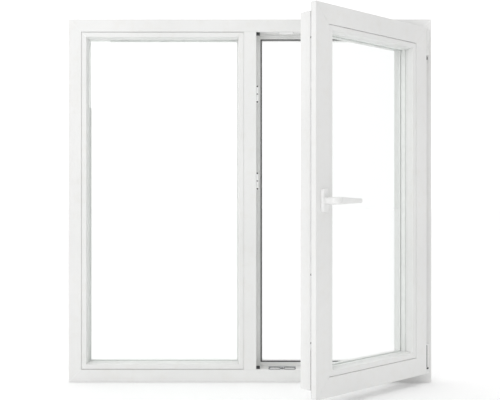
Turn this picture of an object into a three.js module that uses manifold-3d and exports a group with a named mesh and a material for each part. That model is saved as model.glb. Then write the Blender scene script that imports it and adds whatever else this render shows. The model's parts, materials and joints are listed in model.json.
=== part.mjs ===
// Two-light uPVC window: a fixed light on the left and, on the right, a tilt-and-turn sash that is
// hinged on the right jamb and stands open into the room.
// Millimetres. +X is to the right seen from the room, -Y points into the room, +Z is up.
// The origin is the middle of the sill's underside. Each profile is drawn as a section whose first
// coordinate runs inwards from the outer edge and whose second runs from the room face outwards.

import * as THREE from 'three';
import { mergeVertices } from 'three/addons/utils/BufferGeometryUtils.js';
import Module from 'manifold-3d';

const wasm = await Module();
wasm.setup();

// ---------------------------------------------------------------- driving dimensions

const FRAME_WIDTH = 1200;
const FRAME_HEIGHT = 1200;
const FRAME_DEPTH = 80;
const FRAME_FACE = 41;
const FRAME_LIP = 62;
const LIP_DEPTH = 58;
const MULLION_HALF_FACE = 20.5;
const MULLION_HALF_LIP = 41.5;

const SASH_OVERLAP = 8;
const SASH_STANDOFF = 21;
const SASH_DEPTH = 77;
const SASH_FACE = 58;
const SASH_LIP = 78;
const SASH_LIP_DEPTH = 55;
const FLANGE_HEIGHT = 20;
const FLANGE_THICKNESS = 17.5;
const GROOVE_AXIS = 30.5;
const GROOVE_SEAT = 16.6;
const GROOVE_WIDTH = 12;

const GLASS_PANE = 4;
const GLASS_UNIT = 24;
const GLASS_FRONT_FIXED = 31;
const GLASS_FRONT_SASH = 28;
const GLASS_EDGE_CLEARANCE = 5;
const BEAD_HEIGHT = 20;
const BEAD_FLAT = 16.5;
const LEVEL_BEAD_NOTCH = 0.9;
const UPRIGHT_BEAD_NOTCH = 0.2;

const HINGE_AXIS_X = 581;
const HINGE_AXIS_Y = -50;
const HINGE_RADIUS = 7.8;
const HINGE_PIN_RADIUS = 3;
const REST_OPENING = THREE.MathUtils.degToRad(45);
const STAY_ARM_LENGTH = 400;

const HANDLE_Z = 600;
const HANDLE_BACKSET = 35;
const HANDLE_STANDOFF = 48;
const HANDLE_GRIP = 111;

const GAP = 0.3;
const MITRE_SETBACK = 0.22;
const ROUND_STEPS = 20;

// ---------------------------------------------------------------- derived places

const ROOM_FACE_Y = -FRAME_DEPTH / 2;
const FRAME_CENTRE_Z = FRAME_HEIGHT / 2;
const JAMB_REBATE_X = FRAME_WIDTH / 2 - FRAME_FACE;
const SASH_FRONT_Y = ROOM_FACE_Y - SASH_STANDOFF;
const SASH_LEFT_X = MULLION_HALF_FACE - SASH_OVERLAP;
const SASH_RIGHT_X = JAMB_REBATE_X + SASH_OVERLAP;
const SASH_BOTTOM_Z = FRAME_FACE - SASH_OVERLAP;
const SASH_TOP_Z = FRAME_HEIGHT - FRAME_FACE + SASH_OVERLAP;
const SASH_BODY_RIGHT_X = SASH_RIGHT_X - FLANGE_HEIGHT;
const SASH_BODY_TOP_Z = SASH_TOP_Z - FLANGE_HEIGHT;
const GROOVE_Y = SASH_FRONT_Y + GROOVE_AXIS;
const FLANGE_BACK_Y = SASH_FRONT_Y + FLANGE_THICKNESS;

const FRAME_RECT = {
  left: -FRAME_WIDTH / 2,
  right: FRAME_WIDTH / 2,
  bottom: 0,
  top: FRAME_HEIGHT,
};
// The rebates that receive glass or sash, measured to the frame and mullion faces.
const FIXED_RECT = {
  left: -JAMB_REBATE_X,
  right: -MULLION_HALF_FACE,
  bottom: FRAME_FACE,
  top: FRAME_HEIGHT - FRAME_FACE,
};
const OPENING_RECT = {
  left: MULLION_HALF_FACE,
  right: JAMB_REBATE_X,
  bottom: FRAME_FACE,
  top: FRAME_HEIGHT - FRAME_FACE,
};
const SASH_RECT = {
  left: SASH_LEFT_X,
  right: SASH_RIGHT_X,
  bottom: SASH_BOTTOM_Z,
  top: SASH_TOP_Z,
};

// ---------------------------------------------------------------- materials

function finish(color, roughness, metalness = 0) {
  return () => new THREE.MeshStandardMaterial({ color, roughness, metalness });
}

const whiteVinyl = finish('#eceded', 0.35);
const whitePaint = finish('#f1f1ef', 0.3);
const darkSteel = finish('#55585b', 0.45, 0.9);
const darkRubber = finish('#3c3e40', 0.8);
const greyRubber = finish('#a9abac', 0.75);
const whiteSpacer = finish('#e2e3e2', 0.5);
const galvanised = finish('#a7acb0', 0.45, 0.9);
const brightSteel = finish('#c4c7ca', 0.3, 1);
const zincCasting = finish('#b4b6b6', 0.4, 0.9);
const glassTint = () => new THREE.MeshStandardMaterial({
  color: '#eef5f3',
  roughness: 0.03,
  transparent: true,
  opacity: 0.3,
});

// ---------------------------------------------------------------- solids

function toSolid(geometry) {
  const plain = geometry.clone();
  plain.deleteAttribute('normal');
  plain.deleteAttribute('uv');
  const merged = mergeVertices(plain, 1e-4);
  const mesh = new wasm.Mesh({
    numProp: 3,
    vertProperties: new Float32Array(merged.attributes.position.array),
    triVerts: new Uint32Array(merged.index.array),
  });
  return new wasm.Manifold(mesh);
}

function toGeometry(solid) {
  const mesh = solid.getMesh();
  const geometry = new THREE.BufferGeometry();
  const positions = new Float32Array(mesh.vertProperties);
  geometry.setAttribute('position', new THREE.BufferAttribute(positions, 3));
  geometry.setIndex(new THREE.BufferAttribute(new Uint32Array(mesh.triVerts), 1));
  geometry.computeVertexNormals();
  return geometry;
}

function join(...geometries) {
  const solids = geometries.map(toSolid);
  return toGeometry(solids.reduce((sum, next) => sum.add(next)));
}

function cut(geometry, ...tools) {
  return toGeometry(tools.map(toSolid).reduce((rest, tool) => rest.subtract(tool), toSolid(geometry)));
}

function block(xMin, xMax, yMin, yMax, zMin, zMax) {
  const geometry = new THREE.BoxGeometry(xMax - xMin, yMax - yMin, zMax - zMin);
  geometry.translate((xMin + xMax) / 2, (yMin + yMax) / 2, (zMin + zMax) / 2);
  return geometry;
}

// A round bar parallel to Z.
function post(radius, x, y, zMin, zMax, steps = ROUND_STEPS) {
  const geometry = new THREE.CylinderGeometry(radius, radius, zMax - zMin, steps);
  geometry.rotateX(Math.PI / 2);
  geometry.translate(x, y, (zMin + zMax) / 2);
  return geometry;
}

// A round bar parallel to Y.
function studAlongY(radius, x, z, yMin, yMax, steps = ROUND_STEPS) {
  const geometry = new THREE.CylinderGeometry(radius, radius, yMax - yMin, steps);
  geometry.translate(x, (yMin + yMax) / 2, z);
  return geometry;
}

function sectionShape(outline, chambers = []) {
  const shape = new THREE.Shape(outline.map(([inward, depth]) => new THREE.Vector2(inward, depth)));
  for (const [inMin, inMax, depthMin, depthMax] of chambers) {
    shape.holes.push(new THREE.Path([
      new THREE.Vector2(inMin, depthMin),
      new THREE.Vector2(inMin, depthMax),
      new THREE.Vector2(inMax, depthMax),
      new THREE.Vector2(inMax, depthMin),
    ]));
  }
  return shape;
}

// A straight bar along X with its section drawn inwards (+Z) and outwards (+Y). With mitre 1 both
// ends are cut at 45 degrees, so the bar is shorter by the inward distance at each end.
function bar(shape, length, mitre = 0) {
  const geometry = new THREE.ExtrudeGeometry(shape, { depth: 1, bevelEnabled: false, steps: 1 });
  const positions = geometry.attributes.position;
  for (let i = 0; i < positions.count; i += 1) {
    const inward = positions.getX(i);
    const depth = positions.getY(i);
    const end = positions.getZ(i) > 0.5 ? -1 : 1;
    const reach = length / 2 - mitre * (inward + MITRE_SETBACK);
    positions.setXYZ(i, end * reach, depth, inward);
  }
  geometry.computeVertexNormals();
  return geometry;
}

// The same outline as a polygon in which no point stands on its neighbour.
function polygonOf(shape, curveSteps) {
  const points = shape.getPoints(curveSteps);
  const apart = points.filter((point, i) => {
    const next = points[(i + 1) % points.length];
    return point.distanceTo(next) > 1e-3;
  });
  return new THREE.Shape(apart);
}

// ---------------------------------------------------------------- scene graph helpers

const part = new THREE.Group();

function addPart(parent, name, geometry, material) {
  const mesh = new THREE.Mesh(geometry, material());
  mesh.name = name;
  parent.add(mesh);
  return mesh;
}

// Lays a bar along one side of a rectangle, with its section facing inwards.
function layAlong(mesh, side, rect, frontY) {
  const middleX = (rect.left + rect.right) / 2;
  const middleZ = (rect.bottom + rect.top) / 2;
  const places = {
    bottom: [middleX, rect.bottom, 0],
    right: [rect.right, middleZ, -Math.PI / 2],
    top: [middleX, rect.top, Math.PI],
    left: [rect.left, middleZ, Math.PI / 2],
  };
  const [x, z, turn] = places[side];
  mesh.position.set(x, frontY, z);
  mesh.rotation.y = turn;
}

function sideLength(side, rect) {
  const level = side === 'bottom' || side === 'top';
  return level ? rect.right - rect.left : rect.top - rect.bottom;
}

const SIDES = ['bottom', 'right', 'top', 'left'];

function addMitredBars(parent, names, shapes, rect, frontY, material) {
  for (const side of SIDES) {
    const geometry = bar(shapes[side] ?? shapes, sideLength(side, rect), 1);
    layAlong(addPart(parent, names[side], geometry, material), side, rect, frontY);
  }
}

// A flat ring between two rectangles, standing in the plane of the window.
function ring(rect, outerInset, innerInset, yMin, yMax) {
  const corners = (inset) => [
    new THREE.Vector2(rect.left + inset, -rect.top + inset),
    new THREE.Vector2(rect.right - inset, -rect.top + inset),
    new THREE.Vector2(rect.right - inset, -rect.bottom - inset),
    new THREE.Vector2(rect.left + inset, -rect.bottom - inset),
  ];
  const shape = new THREE.Shape(corners(outerInset));
  shape.holes.push(new THREE.Path(corners(innerInset).reverse()));
  const geometry = new THREE.ExtrudeGeometry(shape, { depth: yMax - yMin, bevelEnabled: false });
  geometry.rotateX(-Math.PI / 2);
  geometry.translate(0, yMin, 0);
  return geometry;
}

// ---------------------------------------------------------------- sections

const BEAD_GROOVE = 3;
const BEAD_GROOVE_DEPTH = 2.8;
const BEAD_CLEARANCE = 0.2;

// The hollow chambers of each profile, as [inward from, inward to, depth from, depth to].
const FRAME_CHAMBERS = [[3, 38, 3, 14.5], [3.5, 34, 18, 54], [3, 59, 61.5, 76.5]];
const MULLION_CHAMBERS = [[-17.5, 17.5, 3, 14.5], [-14, 14, 18, 54], [-38, 38, 61.5, 76.5]];
const SASH_CHAMBERS = [
  [3, 19, 3, 14.5],
  [22, 55, 3.4, 19],
  [35, 52, 22, 38],
  [23.5, 54.5, 41.8, 62],
  [24, 75, 65.6, 74],
];

const frameSection = sectionShape([
  [0, 0],
  [FRAME_FACE, 0],
  [FRAME_FACE, GLASS_FRONT_FIXED - BEAD_GROOVE],
  [FRAME_FACE - BEAD_GROOVE_DEPTH, GLASS_FRONT_FIXED - BEAD_GROOVE],
  [FRAME_FACE - BEAD_GROOVE_DEPTH, GLASS_FRONT_FIXED],
  [FRAME_FACE, GLASS_FRONT_FIXED],
  [FRAME_FACE, LIP_DEPTH],
  [FRAME_LIP, LIP_DEPTH],
  [FRAME_LIP, FRAME_DEPTH],
  [0, FRAME_DEPTH],
], FRAME_CHAMBERS);

function mullionHalfOutline(sign) {
  return [
    [sign * MULLION_HALF_FACE, 0],
    [sign * MULLION_HALF_FACE, GLASS_FRONT_FIXED - BEAD_GROOVE],
    [sign * (MULLION_HALF_FACE - BEAD_GROOVE_DEPTH), GLASS_FRONT_FIXED - BEAD_GROOVE],
    [sign * (MULLION_HALF_FACE - BEAD_GROOVE_DEPTH), GLASS_FRONT_FIXED],
    [sign * MULLION_HALF_FACE, GLASS_FRONT_FIXED],
    [sign * MULLION_HALF_FACE, LIP_DEPTH],
    [sign * MULLION_HALF_LIP, LIP_DEPTH],
    [sign * MULLION_HALF_LIP, FRAME_DEPTH],
  ];
}

const mullionSection = sectionShape(
  [...mullionHalfOutline(1), ...mullionHalfOutline(-1).reverse()],
  MULLION_CHAMBERS,
);

const grooveMin = GROOVE_AXIS - GROOVE_WIDTH / 2;
const grooveMax = GROOVE_AXIS + GROOVE_WIDTH / 2;
const seatMin = GROOVE_AXIS - GROOVE_SEAT / 2;
const seatMax = GROOVE_AXIS + GROOVE_SEAT / 2;
const SEAT_DEPTH = 3;
const GROOVE_DEPTH = 12;
const SASH_REAR_STEP = 1;
const SASH_REAR_STEP_START = 65;

const sashSection = sectionShape([
  [0, 0],
  [SASH_FACE, 0],
  [SASH_FACE, GLASS_FRONT_SASH - BEAD_GROOVE],
  [SASH_FACE - BEAD_GROOVE_DEPTH, GLASS_FRONT_SASH - BEAD_GROOVE],
  [SASH_FACE - BEAD_GROOVE_DEPTH, GLASS_FRONT_SASH],
  [SASH_FACE, GLASS_FRONT_SASH],
  [SASH_FACE, SASH_LIP_DEPTH],
  [SASH_LIP, SASH_LIP_DEPTH],
  [SASH_LIP, SASH_DEPTH],
  [FLANGE_HEIGHT + SASH_REAR_STEP, SASH_DEPTH],
  [FLANGE_HEIGHT + SASH_REAR_STEP, SASH_REAR_STEP_START],
  [FLANGE_HEIGHT, SASH_REAR_STEP_START],
  [FLANGE_HEIGHT, seatMax],
  [FLANGE_HEIGHT + SEAT_DEPTH, seatMax],
  [FLANGE_HEIGHT + SEAT_DEPTH, grooveMax],
  [FLANGE_HEIGHT + GROOVE_DEPTH, grooveMax],
  [FLANGE_HEIGHT + GROOVE_DEPTH, grooveMin],
  [FLANGE_HEIGHT + SEAT_DEPTH, grooveMin],
  [FLANGE_HEIGHT + SEAT_DEPTH, seatMin],
  [FLANGE_HEIGHT, seatMin],
  [FLANGE_HEIGHT, FLANGE_THICKNESS],
  [0, FLANGE_THICKNESS],
], SASH_CHAMBERS);

// Open channels of bent steel whose open side faces inwards, in the same order as the chambers.
const STEEL_WALL = 1.5;
const FRAME_STEEL = [4, 33.5, 18.6, 53.4];
const MULLION_STEEL = [-13.4, 13.4, 18.6, 53.4];
const SASH_STEEL = [24, 54, 42.4, 61.4];

function channelShape([inMin, inMax, depthMin, depthMax]) {
  return sectionShape([
    [inMin, depthMin],
    [inMax, depthMin],
    [inMax, depthMin + STEEL_WALL],
    [inMin + STEEL_WALL, depthMin + STEEL_WALL],
    [inMin + STEEL_WALL, depthMax - STEEL_WALL],
    [inMax, depthMax - STEEL_WALL],
    [inMax, depthMax],
    [inMin, depthMax],
  ]);
}

// A glazing bead on the rebate floor, with its foot in the bead groove. The notch is the slot at
// its outer edge where a putty knife lifts it out.
function beadShape(front, glassFront, notch) {
  const back = glassFront - BEAD_GROOVE + BEAD_CLEARANCE;
  return sectionShape([
    [GAP, front + 9],
    [GAP + notch, front + 8],
    [GAP + notch, front],
    [BEAD_FLAT, front],
    [BEAD_HEIGHT, back - 6],
    [BEAD_HEIGHT, back],
    [3, back],
    [3, back + 2.2],
    [GAP - 2.4, back + 2.2],
    [GAP - 2.4, back + GAP],
    [GAP, back + GAP],
  ]);
}

// ---------------------------------------------------------------- outer frame and mullion

const FRAME_NAMES = {
  bottom: 'frame_sill',
  right: 'frame_jamb_right',
  top: 'frame_head',
  left: 'frame_jamb_left',
};
addMitredBars(part, FRAME_NAMES, frameSection, FRAME_RECT, ROOM_FACE_Y, whiteVinyl);

const FRAME_STEEL_SETBACK = 60;
for (const side of SIDES) {
  const length = sideLength(side, FRAME_RECT) - 2 * FRAME_STEEL_SETBACK;
  const geometry = bar(channelShape(FRAME_STEEL), length);
  const mesh = addPart(part, `${FRAME_NAMES[side]}_steel`, geometry, galvanised);
  layAlong(mesh, side, FRAME_RECT, ROOM_FACE_Y);
}

// The mullion stands between the rebate floors and is notched round the lips of sill and head.
function mullionBar() {
  const length = FRAME_HEIGHT - 2 * (FRAME_FACE + GAP);
  const geometry = bar(mullionSection, length);
  geometry.rotateY(Math.PI / 2);
  geometry.translate(0, ROOM_FACE_Y, FRAME_CENTRE_Z);
  const notchFront = ROOM_FACE_Y + LIP_DEPTH - GAP;
  const notch = (zMin, zMax) => block(-50, 50, notchFront, notchFront + 40, zMin, zMax);
  const lowNotch = notch(0, FRAME_LIP + GAP);
  const highNotch = notch(FRAME_HEIGHT - FRAME_LIP - GAP, FRAME_HEIGHT);
  return cut(geometry, lowNotch, highNotch);
}
addPart(part, 'mullion', mullionBar(), whiteVinyl);

const MULLION_STEEL_SETBACK = 4;

function mullionSteel() {
  const length = FRAME_HEIGHT - 2 * (FRAME_FACE + MULLION_STEEL_SETBACK);
  const geometry = bar(channelShape(MULLION_STEEL), length);
  geometry.rotateY(Math.PI / 2);
  geometry.translate(0, ROOM_FACE_Y, FRAME_CENTRE_Z);
  return geometry;
}
addPart(part, 'mullion_steel', mullionSteel(), galvanised);

// ---------------------------------------------------------------- glazing

function slab(rect, inset, yMin, yMax) {
  return block(
    rect.left + inset,
    rect.right - inset,
    yMin,
    yMax,
    rect.bottom + inset,
    rect.top - inset,
  );
}

const SPACER_OUTER = 9;
const SPACER_INNER = 19.5;
const GLAZING_GASKET_OUTER = 12;
const GASKET_LIP = 0.8;
const OUTER_GASKET_INNER = FRAME_LIP - FRAME_FACE + 2;

// A double-glazed unit with its spacer, gaskets and mitred beads, in a rebate whose floor is rect.
function addGlazing(parent, prefix, rect, faceY, beadFront, glassFront, lipDepth) {
  const innerY = faceY + glassFront;
  const outerY = innerY + GLASS_UNIT;
  addPart(
    parent,
    `${prefix}_pane_inner`,
    slab(rect, GLASS_EDGE_CLEARANCE, innerY, innerY + GLASS_PANE),
    glassTint,
  );
  addPart(
    parent,
    `${prefix}_pane_outer`,
    slab(rect, GLASS_EDGE_CLEARANCE, outerY - GLASS_PANE, outerY),
    glassTint,
  );
  const spacerFront = innerY + GLASS_PANE + GAP;
  const spacerBack = outerY - GLASS_PANE - GAP;
  const spacer = ring(rect, SPACER_OUTER, SPACER_INNER, spacerFront, spacerBack);
  addPart(parent, `${prefix}_spacer`, spacer, whiteSpacer);
  const innerGasket = ring(
    rect,
    GLAZING_GASKET_OUTER,
    BEAD_HEIGHT + GASKET_LIP,
    innerY - BEAD_GROOVE + BEAD_CLEARANCE + GAP,
    innerY - GAP,
  );
  addPart(parent, `${prefix}_gasket_inner`, innerGasket, greyRubber);
  const outerGasket = ring(
    rect,
    GLAZING_GASKET_OUTER,
    OUTER_GASKET_INNER,
    outerY + GAP,
    faceY + lipDepth - GAP,
  );
  addPart(parent, `${prefix}_gasket_outer`, outerGasket, greyRubber);
  const names = {
    bottom: `${prefix}_bead_bottom`,
    right: `${prefix}_bead_right`,
    top: `${prefix}_bead_top`,
    left: `${prefix}_bead_left`,
  };
  const level = beadShape(beadFront, glassFront, LEVEL_BEAD_NOTCH);
  const upright = beadShape(beadFront, glassFront, UPRIGHT_BEAD_NOTCH);
  const shapes = { bottom: level, right: upright, top: level, left: upright };
  addMitredBars(parent, names, shapes, rect, faceY, whiteVinyl);
}

const FIXED_BEAD_FRONT = 3;
addGlazing(part, 'fixed', FIXED_RECT, ROOM_FACE_Y, FIXED_BEAD_FRONT, GLASS_FRONT_FIXED, LIP_DEPTH);

// ---------------------------------------------------------------- seals and keepers on the frame

const FRAME_GASKET_BACK = ROOM_FACE_Y + LIP_DEPTH - GAP;
const FRAME_GASKET = 1.35;
const FRAME_GASKET_OUTER = 15;
const FRAME_GASKET_INNER = 20.7;
addPart(
  part,
  'frame_gasket',
  ring(
    OPENING_RECT,
    FRAME_GASKET_OUTER,
    FRAME_GASKET_INNER,
    FRAME_GASKET_BACK - FRAME_GASKET,
    FRAME_GASKET_BACK,
  ),
  darkRubber,
);

const STRIKER_LENGTH = 46;
const STRIKER_FRONT = ROOM_FACE_Y + 2;
const STRIKER_BACK = ROOM_FACE_Y + 24;
const STRIKER_WALL = 3.4;
const STRIKER_HEIGHT = 7.1;
const STRIKER_BASE = 2;
const STRIKER_RIB = { setback: 4, front: 7, back: 2, height: 1.2 };
const MULLION_STRIKERS_Z = { upper: 953, middle: 665 };
const HEAD_STRIKER_X = 120;
const CAM_OFFSET = 31;
const CAM_TRAVEL = 18;

// A striker lies on its back on Z = 0 along X: a base plate, a wall on the room side that the
// cam hooks behind, and a low rear rib.
function strikerShape() {
  const half = STRIKER_LENGTH / 2;
  return join(
    block(-half, half, STRIKER_FRONT, STRIKER_BACK, 0, STRIKER_BASE),
    block(-half, half, STRIKER_FRONT, STRIKER_FRONT + STRIKER_WALL, 0, STRIKER_HEIGHT),
    block(
      -half + STRIKER_RIB.setback,
      half - STRIKER_RIB.setback,
      STRIKER_BACK - STRIKER_RIB.front,
      STRIKER_BACK - STRIKER_RIB.back,
      0,
      STRIKER_BASE + STRIKER_RIB.height,
    ),
  );
}

for (const [place, z] of Object.entries(MULLION_STRIKERS_Z)) {
  const striker = addPart(part, `mullion_striker_${place}`, strikerShape(), whitePaint);
  striker.rotation.y = Math.PI / 2;
  striker.position.set(MULLION_HALF_FACE + GAP, 0, z);
}

const headStriker = addPart(part, 'head_striker', strikerShape(), whitePaint);
headStriker.rotation.y = Math.PI;
headStriker.position.set(HEAD_STRIKER_X, 0, FRAME_HEIGHT - FRAME_FACE - GAP);

const TILT_KEEPER = { left: 61, right: 152, blockLeft: 93.5, blockRight: 119.5 };
const KEEPER_SLOT = 12;
const KEEPER_END_RIM = 3;
const KEEPER_REAR_RIM = 4;
const KEEPER_RIM_DROP = 1;

function tiltKeeper() {
  const base = FRAME_FACE + GAP;
  const top = base + STRIKER_HEIGHT + 0.6;
  const { left, right, blockLeft, blockRight } = TILT_KEEPER;
  const slotFront = STRIKER_FRONT + STRIKER_WALL;
  const slotBack = STRIKER_FRONT + KEEPER_SLOT;
  const rimTop = top - KEEPER_RIM_DROP;
  return join(
    block(left, right, STRIKER_FRONT, STRIKER_BACK, base, base + STRIKER_BASE),
    block(blockLeft, blockRight, STRIKER_FRONT, slotFront, base, top),
    block(blockLeft, blockRight, slotBack, STRIKER_BACK, base, top),
    block(left, left + KEEPER_END_RIM, STRIKER_FRONT, STRIKER_BACK, base, rimTop),
    block(left, right, STRIKER_BACK - KEEPER_REAR_RIM, STRIKER_BACK, base, rimTop),
  );
}
addPart(part, 'tilt_keeper', tiltKeeper(), zincCasting);

// Dark sealing pads close the rebate corners beside the mullion.
const PAD = { width: 12, depth: 14, height: 8.2 };
const padLeft = MULLION_HALF_FACE + GAP;
const padFront = ROOM_FACE_Y + 10;

function mullionPad(zMin) {
  return block(
    padLeft,
    padLeft + PAD.width,
    padFront,
    padFront + PAD.depth,
    zMin,
    zMin + PAD.height,
  );
}
addPart(part, 'mullion_foot_pad', mullionPad(FRAME_FACE + GAP), darkRubber);
const headPadBottom = FRAME_HEIGHT - FRAME_FACE - GAP - PAD.height;
addPart(part, 'mullion_head_pad', mullionPad(headPadBottom), darkRubber);

// ---------------------------------------------------------------- hinge parts fixed to the frame

const BEARING_PLATE = { halfWidth: 6, front: ROOM_FACE_Y - 6, back: ROOM_FACE_Y - GAP };
const STAY_KNUCKLE = { bottom: 1078, middle: 1123.8, top: 1167 };
const CORNER_BEARING = { bottom: 30, top: 45.6 };
const PIN_CLEARANCE = 0.3;

function frameKnuckle(zMin, zMax) {
  const plate = block(
    HINGE_AXIS_X - BEARING_PLATE.halfWidth,
    HINGE_AXIS_X + BEARING_PLATE.halfWidth,
    BEARING_PLATE.front,
    BEARING_PLATE.back,
    zMin,
    zMax,
  );
  return join(post(HINGE_RADIUS, HINGE_AXIS_X, HINGE_AXIS_Y, zMin, zMax), plate);
}

const cornerBearing = frameKnuckle(CORNER_BEARING.bottom, CORNER_BEARING.top);
addPart(part, 'corner_bearing', cornerBearing, whitePaint);

const pinBore = (zMin, zMax) => post(
  HINGE_PIN_RADIUS + PIN_CLEARANCE,
  HINGE_AXIS_X,
  HINGE_AXIS_Y,
  zMin,
  zMax,
);
const stayBearing = cut(
  frameKnuckle(STAY_KNUCKLE.middle, STAY_KNUCKLE.top),
  pinBore(STAY_KNUCKLE.middle - 1, STAY_KNUCKLE.top - 5),
);
addPart(part, 'stay_bearing', stayBearing, whitePaint);
addPart(
  part,
  'stay_bearing_pin',
  post(HINGE_PIN_RADIUS, HINGE_AXIS_X, HINGE_AXIS_Y, STAY_KNUCKLE.bottom - 13, STAY_KNUCKLE.top - 6),
  darkSteel,
);

// ---------------------------------------------------------------- the turning group

// Everything in this group swings about the hinge axis. Its inner group has the coordinates that
// the sash has when shut.
const turning = new THREE.Group();
turning.position.set(HINGE_AXIS_X, HINGE_AXIS_Y, 0);
turning.rotation.z = REST_OPENING;
part.add(turning);

const leaf = new THREE.Group();
leaf.position.set(-HINGE_AXIS_X, -HINGE_AXIS_Y, 0);
turning.add(leaf);

// The pivot pin of the corner bearing turns with the sash and carries its weight.
const PIVOT = { collarRadius: 6.4, collarHeight: 4.4, height: 14, socketRadius: 4.8 };
const pivotSeat = CORNER_BEARING.top + GAP;
addPart(leaf, 'corner_pivot', join(
  post(PIVOT.collarRadius, HINGE_AXIS_X, HINGE_AXIS_Y, pivotSeat, pivotSeat + PIVOT.collarHeight),
  post(HINGE_PIN_RADIUS, HINGE_AXIS_X, HINGE_AXIS_Y, pivotSeat, pivotSeat + PIVOT.height),
), darkSteel);

// A knuckle on the sash side with the flat strap that runs behind the flange.
const STRAP_THICKNESS = 2.5;
const STRAP_LEG_DEPTH = 18;
const KNUCKLE_WEB = 8.5;
const STRAP_FRONT = FLANGE_BACK_Y + GAP;
const STRAP_BACK = STRAP_FRONT + STRAP_THICKNESS;
const STRAP_REACH = HINGE_AXIS_X - HINGE_PIN_RADIUS;

function strappedKnuckle(knuckle, strap, legLeft) {
  const { bottom, top } = strap;
  return join(
    post(HINGE_RADIUS, HINGE_AXIS_X, HINGE_AXIS_Y, knuckle.bottom, knuckle.top),
    block(HINGE_AXIS_X - KNUCKLE_WEB, HINGE_AXIS_X, HINGE_AXIS_Y, STRAP_BACK, bottom, top),
    block(legLeft, STRAP_REACH, STRAP_FRONT, STRAP_BACK, bottom, top),
    block(
      legLeft,
      legLeft + STRAP_THICKNESS,
      STRAP_FRONT,
      STRAP_FRONT + STRAP_LEG_DEPTH,
      bottom,
      top,
    ),
  );
}

const SASH_KNUCKLE = { bottom: 51.6, top: 129 };
const SASH_STRAP = { bottom: 55, top: 126 };
const hingeBand = cut(
  strappedKnuckle(SASH_KNUCKLE, SASH_STRAP, SASH_BODY_RIGHT_X + GAP),
  post(
    PIVOT.socketRadius,
    HINGE_AXIS_X,
    HINGE_AXIS_Y,
    SASH_KNUCKLE.bottom - 1,
    SASH_KNUCKLE.bottom + PIVOT.height,
  ),
);
addPart(leaf, 'sash_hinge_band', hingeBand, whitePaint);

const ARM_STRAP_SETBACK = 4;
const ARM_KNUCKLE = { bottom: STAY_KNUCKLE.bottom, top: STAY_KNUCKLE.middle - GAP };
const ARM_STRAP = {
  bottom: STAY_KNUCKLE.bottom + ARM_STRAP_SETBACK,
  top: STAY_KNUCKLE.middle - ARM_STRAP_SETBACK,
};
const ARM_LEG_X = SASH_BODY_RIGHT_X + 4.5;
const ARM_BOTTOM_Z = SASH_BODY_TOP_Z + 2.5;
const ARM_THICKNESS = 3;
const ARM_WIDTH = 11;

function stayArm() {
  const legBack = GROOVE_Y + ARM_WIDTH / 2;
  const legFront = GROOVE_Y - ARM_WIDTH / 2;
  const armTop = ARM_BOTTOM_Z + ARM_THICKNESS;
  const body = join(
    strappedKnuckle(ARM_KNUCKLE, ARM_STRAP, ARM_LEG_X),
    block(ARM_LEG_X, ARM_LEG_X + STRAP_THICKNESS, legFront, legBack, ARM_STRAP.bottom, armTop),
    block(
      HINGE_AXIS_X - STAY_ARM_LENGTH,
      ARM_LEG_X + STRAP_THICKNESS,
      legFront,
      legBack,
      ARM_BOTTOM_Z,
      armTop,
    ),
  );
  return cut(body, pinBore(ARM_KNUCKLE.bottom - 1, ARM_KNUCKLE.top + 1));
}
addPart(leaf, 'stay_arm', stayArm(), brightSteel);

// ---------------------------------------------------------------- sash members

const SASH_NAMES = {
  bottom: 'sash_bottom_rail',
  right: 'sash_hinge_stile',
  top: 'sash_top_rail',
  left: 'sash_lock_stile',
};
addMitredBars(leaf, SASH_NAMES, sashSection, SASH_RECT, SASH_FRONT_Y, whiteVinyl);

// The gearbox sits in the lock stile, and the spindle runs through the stile's room-side walls.
const SPINDLE_X = SASH_LEFT_X + HANDLE_BACKSET;
const GEARBOX_HALF_HEIGHT = 42;
const groovePocket = block(
  SASH_LEFT_X + FLANGE_HEIGHT + GROOVE_DEPTH - 0.5,
  SASH_LEFT_X + HANDLE_BACKSET + 0.5,
  SASH_FRONT_Y + grooveMin,
  SASH_FRONT_Y + grooveMax,
  HANDLE_Z - GEARBOX_HALF_HEIGHT - 1,
  HANDLE_Z + GEARBOX_HALF_HEIGHT + 1,
);
const SPINDLE_HOLE_RADIUS = 6;
const spindleHole = studAlongY(
  SPINDLE_HOLE_RADIUS,
  SPINDLE_X,
  HANDLE_Z,
  SASH_FRONT_Y - 1,
  SASH_FRONT_Y + grooveMin + 0.5,
);
const lockStile = leaf.children.find((mesh) => mesh.name === SASH_NAMES.left);
lockStile.updateMatrix();
const lockStileShut = lockStile.geometry.clone().applyMatrix4(lockStile.matrix);
lockStile.geometry = cut(lockStileShut, groovePocket, spindleHole);
lockStile.position.set(0, 0, 0);
lockStile.rotation.set(0, 0, 0);

const SASH_STEEL_SETBACK = 90;
for (const side of SIDES) {
  const length = sideLength(side, SASH_RECT) - 2 * SASH_STEEL_SETBACK;
  const geometry = bar(channelShape(SASH_STEEL), length);
  const mesh = addPart(leaf, `${SASH_NAMES[side]}_steel`, geometry, galvanised);
  layAlong(mesh, side, SASH_RECT, SASH_FRONT_Y);
}

const SASH_REBATE_RECT = {
  left: SASH_RECT.left + SASH_FACE,
  right: SASH_RECT.right - SASH_FACE,
  bottom: SASH_RECT.bottom + SASH_FACE,
  top: SASH_RECT.top - SASH_FACE,
};
const SASH_BEAD_FRONT = 1.5;
addGlazing(
  leaf,
  'sash',
  SASH_REBATE_RECT,
  SASH_FRONT_Y,
  SASH_BEAD_FRONT,
  GLASS_FRONT_SASH,
  SASH_LIP_DEPTH,
);

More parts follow.
